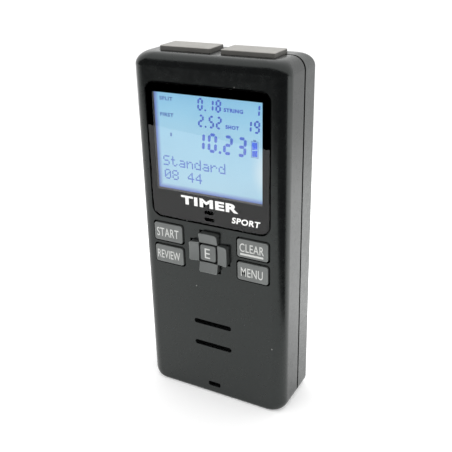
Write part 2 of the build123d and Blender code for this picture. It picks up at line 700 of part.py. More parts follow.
with BuildPart() as switch_plunger_left:
    with BuildSketch(Plane.XY.offset(94.3)):
        with Locations((-BTN_XM, SW_Y)):
            Circle(0.8)
    extrude(amount=2.0)
switch_plunger_left.part.label = "switch_plunger_left"
export_step(switch_plunger_left.part, "parts/switch_plunger_left.step")

with BuildPart() as switch_plunger_right:
    with BuildSketch(Plane.XY.offset(94.3)):
        with Locations((BTN_XM, SW_Y)):
            Circle(0.8)
    extrude(amount=2.0)
switch_plunger_right.part.label = "switch_plunger_right"
export_step(switch_plunger_right.part, "parts/switch_plunger_right.step")

# ---------------------------------------------------------------- main board
with BuildPart() as main_board:
    with BuildSketch(facing(BOARD_Y0)):
        with Locations((0, 51.2)):
            RectangleRounded(40.0, 88.8, 2.6)
        with Locations((-18.5, 94.3), (18.5, 94.3)):
            Circle(2.15, mode=Mode.SUBTRACT)
            Rectangle(4.3, 6.0, mode=Mode.SUBTRACT)
        with Locations(*BOARD_SCREW_AT):
            Circle(0.85, mode=Mode.SUBTRACT)
    extrude(amount=-(BOARD_Y1 - BOARD_Y0))
main_board.part.label = "main_board"
export_step(main_board.part, "parts/main_board.step")

with BuildPart() as board_screws:
    with BuildSketch(facing(BOARD_Y1)):
        with Locations(*BOARD_SCREW_AT):
            Circle(0.64)
    extrude(amount=3.0)
    with BuildSketch(facing(BOARD_Y1)):
        with Locations(*BOARD_SCREW_AT):
            Circle(1.25)
    extrude(amount=-0.8)
    with BuildSketch(facing(BOARD_Y1 + 0.4)):
        with Locations(*BOARD_SCREW_AT):
            Rectangle(1.6, 0.3)
            Rectangle(0.3, 1.6)
    extrude(amount=-1, mode=Mode.SUBTRACT)
board_screws.part.label = "board_screws"
export_step(board_screws.part, "parts/board_screws.step")

with BuildPart() as controller_chip:
    with BuildSketch(facing(BOARD_Y1 + 0.1)):
        with Locations((4.5, 74.0)):
            Rectangle(10.0, 10.0)
    extrude(amount=-1.4)
    chamfer(edges().filter_by(Axis.Y), 0.5)
    with BuildSketch(facing(BOARD_Y1)):
        with Locations(*[(4.5 + 0.8 * i, 74.0) for i in range(-5, 6)]):
            Rectangle(0.35, 12.0)
        with Locations(*[(4.5, 74.0 + 0.8 * i) for i in range(-5, 6)]):
            Rectangle(12.0, 0.35)
        with Locations((4.5, 74.0)):
            Rectangle(9.6, 9.6, mode=Mode.SUBTRACT)
    extrude(amount=-0.3)
controller_chip.part.label = "controller_chip"
export_step(controller_chip.part, "parts/controller_chip.step")

with BuildPart() as amplifier_chip:
    with BuildSketch(facing(BOARD_Y1 + 0.1)):
        with Locations((4.0, 61.6)):
            Rectangle(5.0, 3.9)
    extrude(amount=-1.4)
    with BuildSketch(facing(BOARD_Y1)):
        with Locations(*[(4.0 + 1.27 * (i - 1.5), 61.6) for i in range(4)]):
            Rectangle(0.4, 6.0)
        with Locations((4.0, 61.6)):
            Rectangle(5.0, 3.5, mode=Mode.SUBTRACT)
    extrude(amount=-0.3)
amplifier_chip.part.label = "amplifier_chip"
export_step(amplifier_chip.part, "parts/amplifier_chip.step")

with BuildPart() as quartz_crystal:
    with BuildSketch(facing(BOARD_Y1)):
        with Locations((3.0, 86.0)):
            SlotOverall(10.0, 4.2)
    extrude(amount=-3.4)
    fillet(faces().sort_by(Axis.Y)[-1].edges(), 0.4)
quartz_crystal.part.label = "quartz_crystal"
export_step(quartz_crystal.part, "parts/quartz_crystal.step")

with BuildPart() as capacitors:
    with BuildSketch(facing(BOARD_Y1)):
        with Locations((15.5, 66.0), (15.5, 73.5)):
            Circle(2.5)
    extrude(amount=-5.4)
    fillet(faces().filter_by(Axis.Y).group_by(Axis.Y)[-1].edges(), 0.3)
capacitors.part.label = "capacitors"
export_step(capacitors.part, "parts/capacitors.step")

# ---------------------------------------------------------------- microphone
MIC_MZ = (MIC_Z[0] + MIC_Z[1]) / 2
with BuildPart() as microphone_boot:
    with BuildSketch(facing(Y_IN)):
        with Locations((0, MIC_MZ)):
            Circle(2.6)
            Circle(2.02, mode=Mode.SUBTRACT)
    extrude(amount=-(BOARD_Y0 - Y_IN))
microphone_boot.part.label = "microphone_boot"
export_step(microphone_boot.part, "parts/microphone_boot.step")

with BuildPart() as microphone:
    with BuildSketch(facing(-6.9)):
        with Locations((0, MIC_MZ)):
            Circle(2.0)
    extrude(amount=-2.3)
    with BuildSketch(facing(-6.9)):
        with Locations((0, MIC_MZ)):
            Circle(0.6)
    extrude(amount=-0.4, mode=Mode.SUBTRACT)
microphone.part.label = "microphone"
export_step(microphone.part, "parts/microphone.step")

# ---------------------------------------------------------------- sounder
with BuildPart() as sounder_ring:
    with BuildSketch(facing(Y_IN)):
        with Locations((0, SND_Z)):
            Circle(10.0)
            Circle(8.9, mode=Mode.SUBTRACT)
    extrude(amount=-1.7)
sounder_ring.part.label = "sounder_ring"
export_step(sounder_ring.part, "parts/sounder_ring.step")

with BuildPart() as sounder_disc:
    with BuildSketch(facing(Y_IN + 1.7)):
        with Locations((0, SND_Z)):
            Circle(10.0)
    extrude(amount=-0.25)
sounder_disc.part.label = "sounder_disc"
export_step(sounder_disc.part, "parts/sounder_disc.step")

with BuildPart() as sounder_ceramic:
    with BuildSketch(facing(Y_IN + 1.95)):
        with Locations((0, SND_Z)):
            Circle(7.0)
    extrude(amount=-0.2)
sounder_ceramic.part.label = "sounder_ceramic"
export_step(sounder_ceramic.part, "parts/sounder_ceramic.step")

with BuildPart() as sounder_mesh:
    with BuildSketch(facing(Y_IN)):
        with Locations((0, SND_Z)):
            Circle(8.8)
    extrude(amount=-0.15)
sounder_mesh.part.label = "sounder_mesh"
export_step(sounder_mesh.part, "parts/sounder_mesh.step")

# ---------------------------------------------------------------- batteries and contacts
PLATE = 0.3
UP_TOP = BAY_Z1 - PLATE - 0.05      # button end of a cell that stands upright
DN_TOP = BAY_Z0 + PLATE + 0.05      # button end of a cell that stands inverted

with BuildPart() as battery_cells:
    for x, end, way in ((CELL_X[0], UP_TOP, -1), (CELL_X[1], DN_TOP, 1), (CELL_X[2], UP_TOP, -1)):
        with BuildSketch(Plane.XY.offset(end)):
            with Locations((x, CELL_Y)):
                Circle(1.9)
        extrude(amount=way * 1.2)
        with BuildSketch(Plane.XY.offset(end + way * 0.9)):
            with Locations((x, CELL_Y)):
                Circle(CELL_R)
        extrude(amount=way * (CELL_L - 0.9))
    fillet(edges().filter_by(GeomType.CIRCLE).filter_by(lambda e: e.radius > 5), 0.5)
battery_cells.part.label = "battery_cells"
export_step(battery_cells.part, "parts/battery_cells.step")

with BuildPart() as contact_plates:
    # lower bridge and lower end plate
    with BuildSketch(Plane.XY.offset(BAY_Z0)):
        with Locations((-5.3, CELL_Y)):
            RectangleRounded(18.6, 8.0, 1.0)
        with Locations((10.6, CELL_Y)):
            RectangleRounded(8.0, 8.0, 1.0)
        with Locations((10.6, -2.4)):
            Rectangle(1.8, 2.4)
    extrude(amount=PLATE)
    # upper end plate and upper bridge
    with BuildSketch(Plane.XY.offset(BAY_Z1 - PLATE)):
        with Locations((5.3, CELL_Y)):
            RectangleRounded(18.6, 8.0, 1.0)
        with Locations((-10.6, CELL_Y)):
            RectangleRounded(8.0, 8.0, 1.0)
        with Locations((-10.6, -2.4)):
            Rectangle(1.8, 2.4)
    extrude(amount=PLATE)
contact_plates.part.label = "contact_plates"
export_step(contact_plates.part, "parts/contact_plates.step")

with BuildPart() as contact_springs:
    for x, z in ((CELL_X[0], BAY_Z0 + PLATE + 0.24), (CELL_X[1], UP_TOP - 3.96), (CELL_X[2], BAY_Z0 + PLATE + 0.24)):
        with BuildLine(Plane(origin=(x, CELL_Y, z), z_dir=(0, 0, 1))) as coil:
            Helix(pitch=1.2, height=3.78, radius=2.5)
        with BuildSketch(Plane(origin=coil.line @ 0, z_dir=coil.line % 0)):
            Circle(0.22)
        sweep(path=coil.line)
contact_springs.part.label = "contact_springs"
export_step(contact_springs.part, "parts/contact_springs.step")

# ---------------------------------------------------------------- sockets in the left wall
with BuildPart() as audio_jack:
    with BuildSketch(Plane.YZ.offset(-20.4)):
        with Locations((JACK_Y, AUDIO_Z)):
            Rectangle(5.0, 6.0)
    extrude(amount=12.0)
    with BuildSketch(Plane.YZ.offset(-20.5)):
        with Locations((JACK_Y, AUDIO_Z)):
            Circle(2.45)
    extrude(amount=-1.5)
    with BuildSketch(Plane.YZ.offset(-22.0)):
        with Locations((JACK_Y, AUDIO_Z)):
            Circle(1.8)
    extrude(amount=12.0, mode=Mode.SUBTRACT)
audio_jack.part.label = "audio_jack"
export_step(audio_jack.part, "parts/audio_jack.step")

with BuildPart() as charge_jack:
    with BuildSketch(Plane.YZ.offset(-20.4)):
        with Locations((JACK_Y, CHARGE_Z)):
            Rectangle(5.0, 6.0)
    extrude(amount=11.0)
    with BuildSketch(Plane.YZ.offset(-20.5)):
        with Locations((JACK_Y, CHARGE_Z)):
            Circle(2.45)
    extrude(amount=-1.5)
    with BuildSketch(Plane.YZ.offset(-22.0)):
        with Locations((JACK_Y, CHARGE_Z)):
            Circle(1.8)
    extrude(amount=10.0, mode=Mode.SUBTRACT)
charge_jack.part.label = "charge_jack"
export_step(charge_jack.part, "parts/charge_jack.step")

with BuildPart() as charge_pin:
    with BuildSketch(Plane.YZ.offset(-12.0)):
        with Locations((JACK_Y, CHARGE_Z)):
            Circle(0.65)
    extrude(amount=-9.0)
    fillet(faces().sort_by(Axis.X)[0].edges(), 0.3)
charge_pin.part.label = "charge_pin"
export_step(charge_pin.part, "parts/charge_pin.step")
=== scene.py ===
import math

import bmesh
import bpy
from mathutils import Matrix, Vector


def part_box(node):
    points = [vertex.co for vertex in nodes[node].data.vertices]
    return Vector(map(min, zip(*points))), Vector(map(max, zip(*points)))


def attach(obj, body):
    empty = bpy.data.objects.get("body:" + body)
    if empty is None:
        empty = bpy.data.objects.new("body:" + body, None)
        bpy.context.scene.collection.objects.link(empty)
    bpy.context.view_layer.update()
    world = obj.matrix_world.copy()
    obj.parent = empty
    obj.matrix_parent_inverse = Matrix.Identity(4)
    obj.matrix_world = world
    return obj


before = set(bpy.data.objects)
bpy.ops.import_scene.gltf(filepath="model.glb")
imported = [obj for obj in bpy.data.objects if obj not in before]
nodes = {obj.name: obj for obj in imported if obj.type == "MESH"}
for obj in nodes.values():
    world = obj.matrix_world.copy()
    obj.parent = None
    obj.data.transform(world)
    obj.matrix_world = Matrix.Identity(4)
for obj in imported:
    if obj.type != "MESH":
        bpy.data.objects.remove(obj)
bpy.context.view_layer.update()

MM = 0.001
scene = bpy.context.scene
scene.view_settings.view_transform = "Standard"
scene.view_settings.look = "None"


# ------------------------------------------------------------------ materials
class Mat:
    """A Principled material with a few helpers for procedural detail in object space."""

    def __init__(self, name, color, rough=0.5, metal=0.0, spec=0.5, ior=1.5):
        self.m = bpy.data.materials.new(name)
        self.m.use_nodes = True
        self.nt = self.m.node_tree
        self.b = self.nt.nodes["Principled BSDF"]
        self.color = color
        self.rough = rough
        self.b.inputs["Base Color"].default_value = (*color, 1)
        self.b.inputs["Roughness"].default_value = rough
        self.b.inputs["Metallic"].default_value = metal
        self.b.inputs["IOR"].default_value = ior
        self.b.inputs["Specular IOR Level"].default_value = spec
        self.co = self.nt.nodes.new("ShaderNodeTexCoord").outputs["Object"]
        self.height = None

    def noise(self, scale, detail=3.0, rough=0.55, stretch=None):
        co = self.co
        if stretch:
            mp = self.nt.nodes.new("ShaderNodeMapping")
            mp.inputs["Scale"].default_value = stretch
            self.nt.links.new(self.co, mp.inputs["Vector"])
            co = mp.outputs["Vector"]
        n = self.nt.nodes.new("ShaderNodeTexNoise")
        n.inputs["Scale"].default_value = scale
        n.inputs["Detail"].default_value = detail
        n.inputs["Roughness"].default_value = rough
        self.nt.links.new(co, n.inputs["Vector"])
        return n.outputs["Fac"]

    def ramp(self, fac, stops):
        r = self.nt.nodes.new("ShaderNodeValToRGB")
        els = r.color_ramp.elements
        while len(els) < len(stops):
            els.new(0.5)
        for e, (p, c) in zip(els, stops):
            e.position = p
            e.color = c if len(c) == 4 else (*c, 1)
        self.nt.links.new(fac, r.inputs["Fac"])
        return r.outputs["Color"]

    def span(self, fac, lo, hi, a=0.3, b=0.7):
        r = self.nt.nodes.new("ShaderNodeMapRange")
        r.inputs["From Min"].default_value = a
        r.inputs["From Max"].default_value = b
        r.inputs["To Min"].default_value = lo
        r.inputs["To Max"].default_value = hi
        self.nt.links.new(fac, r.inputs["Value"])
        return r.outputs["Result"]

    def math(self, op, a, b=None):
        n = self.nt.nodes.new("ShaderNodeMath")
        n.operation = op
        for i, v in enumerate((a, b)):
            if v is None:
                continue
            if isinstance(v, (int, float)):
                n.inputs[i].default_value = v
            else:
                self.nt.links.new(v, n.inputs[i])
        return n.outputs[0]

    def vary(self, scale=60.0, amount=0.12, detail=4.0):
        """Slow change of tone over the surface."""
        f = self.noise(scale, detail)
        lo = tuple(max(0, c * (1 - amount)) for c in self.color)
        hi = tuple(min(1, c * (1 + amount)) for c in self.color)
        col = self.ramp(f, [(0.3, lo), (0.7, hi)])
        self.nt.links.new(col, self.b.inputs["Base Color"])
        self.col_out = col
        return self

    def rough_noise(self, lo, hi, scale=900.0, detail=2.0):
        self.nt.links.new(self.span(self.noise(scale, detail), lo, hi), self.b.inputs["Roughness"])
        return self

    def bump(self, fac, strength, dist):
        n = self.nt.nodes.new("ShaderNodeBump")
        n.inputs["Strength"].default_value = strength
        n.inputs["Distance"].default_value = dist
        self.nt.links.new(fac, n.inputs["Height"])
        if self.height is not None:
            self.nt.links.new(self.height, n.inputs["Normal"])
        self.height = n.outputs["Normal"]
        self.nt.links.new(self.height, self.b.inputs["Normal"])
        return self

    def specks(self, scale, size, color):
        """Sparse pale dust over the base colour."""
        v = self.nt.nodes.new("ShaderNodeTexVoronoi")
        v.inputs["Scale"].default_value = scale
        self.nt.links.new(self.co, v.inputs["Vector"])
        near = self.math("LESS_THAN", v.outputs["Distance"], size)
        sep = self.nt.nodes.new("ShaderNodeSeparateColor")
        self.nt.links.new(v.outputs["Color"], sep.inputs["Color"])
        some = self.math("GREATER_THAN", sep.outputs[0], 0.72)
        mask = self.math("MULTIPLY", near, some)
        mix = self.nt.nodes.new("ShaderNodeMix")
        mix.data_type = "RGBA"
        self.nt.links.new(mask, mix.inputs["Factor"])
        self.nt.links.new(self.col_out, mix.inputs["A"])
        mix.inputs["B"].default_value = (*color, 1)
        self.nt.links.new(mix.outputs["Result"], self.b.inputs["Base Color"])
        return self


def case_plastic(name, rough=0.235, spec=0.48):
    m = Mat(name, (0.0062, 0.0068, 0.0070), rough, spec=spec)
    m.vary(45, 0.18).specks(210.0, 0.045, (0.16, 0.16, 0.15))
    m.rough_noise(rough - 0.04, rough + 0.05, 700)
    m.b.inputs["Specular Tint"].default_value = (0.93, 1.0, 0.965, 1)
    m.bump(m.noise(5200, 2.0, 0.6), 0.35, 0.00003)
    m.bump(m.noise(1500, 3.0, 0.5), 0.15, 0.00003)
    return m.m


def rubber(name, color, rough=0.55, dust=(0.35, 0.35, 0.34), face=None, flank_shade=0.3, rim_highlight=1.25):
    """Moulded rubber. face = axis of the key's top face: painted shade darkens the flanks, and a painted highlight
    makes the top face paler round its rim.
    """
    m = Mat(name, color, rough)
    m.vary(220, 0.08)
    if face:
        # painted shade on the flanks and painted highlight round the top face's rim, picked by the surface normal
        geo = m.nt.nodes.new("ShaderNodeNewGeometry")
        sep = m.nt.nodes.new("ShaderNodeSeparateXYZ")
        m.nt.links.new(geo.outputs["Normal"], sep.inputs["Vector"])
        n = m.math("ABSOLUTE", sep.outputs[face])
        tone = m.ramp(n, [(0.0, (flank_shade,) * 3), (0.30, (flank_shade,) * 3), (0.55, (rim_highlight,) * 3), (0.88, (rim_highlight,) * 3), (0.97, (1.0,) * 3), (1.0, (1.0,) * 3)])
        mul = m.nt.nodes.new("ShaderNodeMix")
        mul.data_type = "RGBA"
        mul.blend_type = "MULTIPLY"
        mul.inputs["Factor"].default_value = 1.0
        m.nt.links.new(m.col_out, mul.inputs["A"])
        m.nt.links.new(tone, mul.inputs["B"])
        m.col_out = mul.outputs["Result"]
    m.specks(520.0, 0.05, dust)
    m.rough_noise(rough - 0.06, rough + 0.08, 1200)
    m.bump(m.noise(4200, 3.0, 0.6), 0.25, 0.00002)
    return m.m


def moulded(name, color, rough=0.4, grain=3500):
    m = Mat(name, color, rough)
    m.vary(180, 0.10)
    m.rough_noise(rough - 0.05, rough + 0.07, 900)
    m.bump(m.noise(grain, 3.0, 0.55), 0.2, 0.00002)
    return m.m


def metal(name, color, rough=0.3, stretch=(1, 1, 1)):
    m = Mat(name, color, rough, metal=1.0)
    m.vary(400, 0.10)
    m.rough_noise(rough - 0.08, rough + 0.12, 1500)
    m.bump(m.noise(3000, 2.0, 0.5, stretch), 0.12, 0.00001)
    return m.m


def window_clear():
    m = Mat("window_clear", (0.97, 0.985, 0.99), 0.0, ior=1.49)
    m.b.inputs["Transmission Weight"].default_value = 1.0
    smear = m.noise(160, 4.0, 0.6)
    m.nt.links.new(m.span(smear, 0.004, 0.035, 0.45, 0.75), m.b.inputs["Roughness"])
    return m.m


def display_lit():
    """Backlit display film, with a painted reflection: paler towards the bottom and deeper blue at the top; a violet
    band where the panel's edge glows.
    """
    m = Mat("display_lit", (0.05, 0.08, 0.10), 0.35)
    lo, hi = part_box("display_polariser")
    sep = m.nt.nodes.new("ShaderNodeSeparateXYZ")
    m.nt.links.new(m.co, sep.inputs["Vector"])
    x, z = sep.outputs["X"], sep.outputs["Z"]
    up = m.nt.nodes.new("ShaderNodeMapRange")
    up.inputs["From Min"].default_value = lo[2]
    up.inputs["From Max"].default_value = hi[2]
    m.nt.links.new(z, up.inputs["Value"])
    # painted reflection: the film's colour is paler towards the bottom and deeper blue at the top
    body = m.ramp(up.outputs["Result"], [(0.0, (0.44, 0.70, 0.86)), (0.30, (0.40, 0.69, 0.88)), (0.62, (0.36, 0.67, 0.88)), (0.78, (0.30, 0.64, 0.88)), (1.0, (0.22, 0.57, 0.86))])
    # distance from the nearest of the left and bottom edges
    dl = m.math("SUBTRACT", x, lo[0])
    db = m.math("SUBTRACT", z, lo[2])
    near = m.math("MINIMUM", dl, db)
    glow = m.nt.nodes.new("ShaderNodeMapRange")
    glow.inputs["From Min"].default_value = 0.0002
    glow.inputs["From Max"].default_value = 0.0014
    m.nt.links.new(near, glow.inputs["Value"])
    mix = m.nt.nodes.new("ShaderNodeMix")
    mix.data_type = "RGBA"
    m.nt.links.new(glow.outputs["Result"], mix.inputs["Factor"])
    mix.inputs["A"].default_value = (0.13, 0.20, 0.60, 1)
    m.nt.links.new(body, mix.inputs["B"])
    # painted highlight: a pale spot by the right edge
    gx = m.math("SUBTRACT", x, 0.0162)
    gz = m.math("SUBTRACT", z, 0.0722)
    d2 = m.math("SQRT", m.math("ADD", m.math("MULTIPLY", gx, gx), m.math("MULTIPLY", m.math("MULTIPLY", gz, gz), 0.35)))
    highlight_spot = m.nt.nodes.new("ShaderNodeMapRange")
    highlight_spot.interpolation_type = "SMOOTHSTEP"
    highlight_spot.inputs["From Min"].default_value = 0.0005
    highlight_spot.inputs["From Max"].default_value = 0.0050
    highlight_spot.inputs["To Min"].default_value = 0.55
    highlight_spot.inputs["To Max"].default_value = 0.0
    m.nt.links.new(d2, highlight_spot.inputs["Value"])
    mix_highlight = m.nt.nodes.new("ShaderNodeMix")
    mix_highlight.data_type = "RGBA"
    m.nt.links.new(highlight_spot.outputs["Result"], mix_highlight.inputs["Factor"])
    m.nt.links.new(mix.outputs["Result"], mix_highlight.inputs["A"])
    mix_highlight.inputs["B"].default_value = (0.95, 1.0, 1.0, 1)
    # cloudy backlight
    cloud = m.ramp(m.noise(70, 2.0), [(0.3, (0.94, 0.95, 0.96)), (0.7, (1.05, 1.04, 1.02))])
    mul = m.nt.nodes.new("ShaderNodeMix")
    mul.data_type = "RGBA"
    mul.blend_type = "MULTIPLY"
    mul.inputs["Factor"].default_value = 1.0
    m.nt.links.new(mix_highlight.outputs["Result"], mul.inputs["A"])
    m.nt.links.new(cloud, mul.inputs["B"])
    m.nt.links.new(mul.outputs["Result"], m.b.inputs["Emission Color"])
    m.b.inputs["Emission Strength"].default_value = 0.80
    m.rough_noise(0.30, 0.42, 800)
    return m.m


def ink_lit(name, color, strength=0.9):
    m = Mat(name, (0.02, 0.03, 0.05), 0.4)
    f = m.noise(500, 2.0)
    lo = tuple(c * 0.90 for c in color)
    hi = tuple(min(1, c * 1.10) for c in color)
    m.nt.links.new(m.ramp(f, [(0.3, lo), (0.7, hi)]), m.b.inputs["Emission Color"])
    m.b.inputs["Emission Strength"].default_value = strength
    return m.m


def print_white(name, color, rough=0.45):
    m = Mat(name, color, rough)
    m.vary(900, 0.06)
    m.bump(m.noise(3000, 2.0), 0.15, 0.00001)
    return m.m


def board_green():
    m = Mat("board_green", (0.012, 0.10, 0.045), 0.28)
    # copper tracks show as paler lines under the mask
    br = m.nt.nodes.new("ShaderNodeTexBrick")
    mp = m.nt.nodes.new("ShaderNodeMapping")
    mp.inputs["Rotation"].default_value = (math.radians(90), 0, 0)
    mp.inputs["Scale"].default_value = (260, 260, 260)
    m.nt.links.new(m.co, mp.inputs["Vector"])
    m.nt.links.new(mp.outputs["Vector"], br.inputs["Vector"])
    br.inputs["Color1"].default_value = (0.012, 0.10, 0.045, 1)
    br.inputs["Color2"].default_value = (0.014, 0.115, 0.05, 1)
    br.inputs["Mortar"].default_value = (0.03, 0.19, 0.08, 1)
    br.inputs["Mortar Size"].default_value = 0.03
    m.nt.links.new(br.outputs["Color"], m.b.inputs["Base Color"])
    m.bump(m.noise(1800, 2.0), 0.1, 0.00001)
    return m.m


def mesh_cloth():
    m = Mat("mesh_cloth", (0.012, 0.012, 0.012), 0.8)
    w1 = m.nt.nodes.new("ShaderNodeTexWave")
    w1.bands_direction = "X"
    w1.inputs["Scale"].default_value = 900
    w2 = m.nt.nodes.new("ShaderNodeTexWave")
    w2.bands_direction = "Z"
    w2.inputs["Scale"].default_value = 900
    m.nt.links.new(m.co, w1.inputs["Vector"])
    m.nt.links.new(m.co, w2.inputs["Vector"])
    weave = m.math("MAXIMUM", w1.outputs["Fac"], w2.outputs["Fac"])
    m.nt.links.new(m.ramp(weave, [(0.3, (0.004, 0.004, 0.004)), (0.9, (0.03, 0.03, 0.03))]), m.b.inputs["Base Color"])
    m.bump(weave, 0.5, 0.00004)
    return m.m


def cell_sleeve():
    """Shrink sleeve with a metal end: green body, pale band near the button end."""
    m = Mat("cell_sleeve", (0.03, 0.20, 0.09), 0.25)
    sep = m.nt.nodes.new("ShaderNodeSeparateXYZ")
    m.nt.links.new(m.co, sep.inputs["Vector"])
    up = m.nt.nodes.new("ShaderNodeMapRange")
    lo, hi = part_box("battery_cells")
    up.inputs["From Min"].default_value = lo[2]
    up.inputs["From Max"].default_value = hi[2]
    m.nt.links.new(sep.outputs["Z"], up.inputs["Value"])
    col = m.ramp(up.outputs["Result"], [(0.0, (0.55, 0.55, 0.56)), (0.03, (0.03, 0.20, 0.09)), (0.30, (0.03, 0.20, 0.09)), (0.31, (0.75, 0.76, 0.74)), (0.36, (0.75, 0.76, 0.74)), (0.37, (0.03, 0.20, 0.09)), (0.965, (0.03, 0.20, 0.09)), (0.97, (0.55, 0.55, 0.56))])
    m.nt.links.new(col, m.b.inputs["Base Color"])
    m.rough_noise(0.2, 0.32, 500)
    m.bump(m.noise(900, 2.0), 0.08, 0.00002)
    return m.m


CASE = case_plastic("case_plastic")
CASE_REAR = case_plastic("case_plastic_rear", 0.28, 0.72)
# keys, pad and top buttons carry painted shade on their flanks and a painted highlight round their top faces
KEY = rubber("key_rubber", (0.140, 0.148, 0.144), 0.48, face="Y", flank_shade=0.42)
PAD = rubber("pad_rubber", (0.122, 0.130, 0.127), 0.48, face="Y", flank_shade=0.42)
BUTTON = rubber("button_rubber", (0.36, 0.35, 0.325), 0.52, face="Z", flank_shade=0.32, rim_highlight=0.9)
MAT_GREY = rubber("mat_rubber", (0.08, 0.085, 0.085), 0.6)
PILL = moulded("carbon_pill", (0.012, 0.012, 0.012), 0.7)
SWITCH = moulded("switch_plastic", (0.018, 0.018, 0.019), 0.38)
CHIP = moulded("chip_plastic", (0.016, 0.016, 0.017), 0.5, 2500)
STEEL = metal("bright_steel", (0.62, 0.62, 0.60), 0.28)
BLACKENED = metal("black_steel", (0.05, 0.05, 0.052), 0.42)
BRASS = metal("brass_disc", (0.72, 0.54, 0.24), 0.3)
CAN = metal("capacitor_can", (0.70, 0.71, 0.73), 0.35)
WHITE_PRINT = print_white("white_print", (0.90, 0.90, 0.88))
KEY_PRINT = print_white("key_print", (0.56, 0.57, 0.55))

paint = {
    "front_case": CASE, "rear_case": CASE_REAR, "battery_door": CASE_REAR,
    "case_screws": BLACKENED,
    "display_window": window_clear(),
    "window_mask": moulded("mask_ink", (0.0016, 0.0016, 0.0018), 0.45),
    "window_tape": moulded("foam_tape", (0.01, 0.01, 0.01), 0.8),
    "display_polariser": display_lit(),
    "display_front_glass": moulded("display_border", (0.20, 0.192, 0.172), 0.35),
    "display_rear_glass": moulded("display_back", (0.30, 0.32, 0.33), 0.25),
    "display_frame": moulded("frame_plastic", (0.22, 0.21, 0.19), 0.5),
    "backlight_panel": moulded("light_guide", (0.75, 0.80, 0.84), 0.3),
    "backlight_lamps": moulded("lamp_white", (0.82, 0.80, 0.55), 0.25),
    "elastomer_strip": moulded("zebra_rubber", (0.10, 0.10, 0.11), 0.6),
    "start_key": KEY, "review_key": KEY, "clear_key": KEY, "menu_key": KEY,
    "direction_pad": PAD, "enter_key": PAD, "pad_pivot": MAT_GREY, "keypad_mat": MAT_GREY,
    "top_button_left": BUTTON, "top_button_right": BUTTON,
    "start_pill": PILL, "review_pill": PILL, "clear_pill": PILL, "menu_pill": PILL, "enter_pill": PILL, "pad_pills": PILL,
    "top_switches": SWITCH, "switch_plunger_left": SWITCH, "switch_plunger_right": SWITCH,
    "sounder_ring": SWITCH, "audio_jack": SWITCH, "charge_jack": SWITCH,
    "main_board": board_green(),
    "board_screws": STEEL, "quartz_crystal": STEEL, "microphone": STEEL, "contact_plates": STEEL, "contact_springs": STEEL, "charge_pin": STEEL,
    "controller_chip": CHIP, "amplifier_chip": CHIP, "capacitors": CAN,
    "microphone_boot": MAT_GREY,
    "sounder_disc": BRASS, "sounder_ceramic": moulded("piezo_ceramic", (0.70, 0.69, 0.64), 0.5),
    "sounder_mesh": mesh_cloth(),
    "battery_cells": cell_sleeve(),
}
for name, m in paint.items():
    o = nodes[name]
    o.data.materials.clear()
    o.data.materials.append(m)


# ------------------------------------------------------------------ mesh helpers
def add_mesh(name, bm, mat, body):
    me = bpy.data.meshes.new(name)
    bmesh.ops.recalc_face_normals(bm, faces=bm.faces)
    bm.to_mesh(me)
    bm.free()
    me.materials.append(mat)
    o = bpy.data.objects.new(name, me)
    scene.collection.objects.link(o)
    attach(o, body)
    return o


def prism(bm, pts, y0, y1):
    """A closed plate: outline pts = [(x, z)] in mm, from depth y0 (front) to y1."""
    a = [bm.verts.new((x * MM, y0 * MM, z * MM)) for x, z in pts]
    b = [bm.verts.new((x * MM, y1 * MM, z * MM)) for x, z in pts]
    bm.faces.new(a)
    bm.faces.new(b[::-1])
    n = len(pts)
    for i in range(n):
        j = (i + 1) % n
        bm.faces.new((a[j], a[i], b[i], b[j]))


def rounded(x0, z0, x1, z1, r, k=4):
    pts = []
    for cx, cz, a0 in ((x1 - r, z1 - r, 0), (x0 + r, z1 - r, 90), (x0 + r, z0 + r, 180), (x1 - r, z0 + r, 270)):
        for i in range(k + 1):
            a = math.radians(a0 + 90 * i / k)
            pts.append((cx + r * math.cos(a), cz + r * math.sin(a)))
    return pts


def lettering(name, words, body, mat, cx, cz, width, height, y, thick, bold=0.0, shear=0.0, gap=1.0):
    """Raised lettering that faces -Y, fitted to width x height in mm about (cx, cz)."""
    cu = bpy.data.curves.new(name + "_line", "FONT")
    cu.body = words
    cu.offset = bold
    cu.shear = shear
    cu.space_character = gap
    cu.extrude = 0.02
    cu.resolution_u = 5
    src = bpy.data.objects.new(name + "_line", cu)
    scene.collection.objects.link(src)
    bpy.context.view_layer.update()
    me = bpy.data.meshes.new_from_object(src.evaluated_get(bpy.context.evaluated_depsgraph_get()))
    bpy.data.objects.remove(src)
    xs = [v.co.x for v in me.vertices]
    ys = [v.co.y for v in me.vertices]
    zs = [v.co.z for v in me.vertices]
    x0, x1, y0, y1, z0, z1 = min(xs), max(xs), min(ys), max(ys), min(zs), max(zs)
    for v in me.vertices:
        u = (v.co.x - x0) / (x1 - x0) - 0.5
        w = (v.co.y - y0) / (y1 - y0) - 0.5
        d = (v.co.z - z0) / (z1 - z0)
        v.co = Vector(((cx + u * width) * MM, (y + thick * (1 - d) - thick) * MM, (cz + w * height) * MM))
    bm = bmesh.new()
    bm.from_mesh(me)
    bpy.data.meshes.remove(me)
    bmesh.ops.remove_doubles(bm, verts=bm.verts, dist=1e-8)
    return add_mesh(name, bm, mat, body)


# ------------------------------------------------------------------ key legends
def top_of(node):
    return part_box(node)[0][1] / MM


def centre(node):
    lo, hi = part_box(node)
    return (lo[0] + hi[0]) / 2 / MM, (lo[2] + hi[2]) / 2 / MM


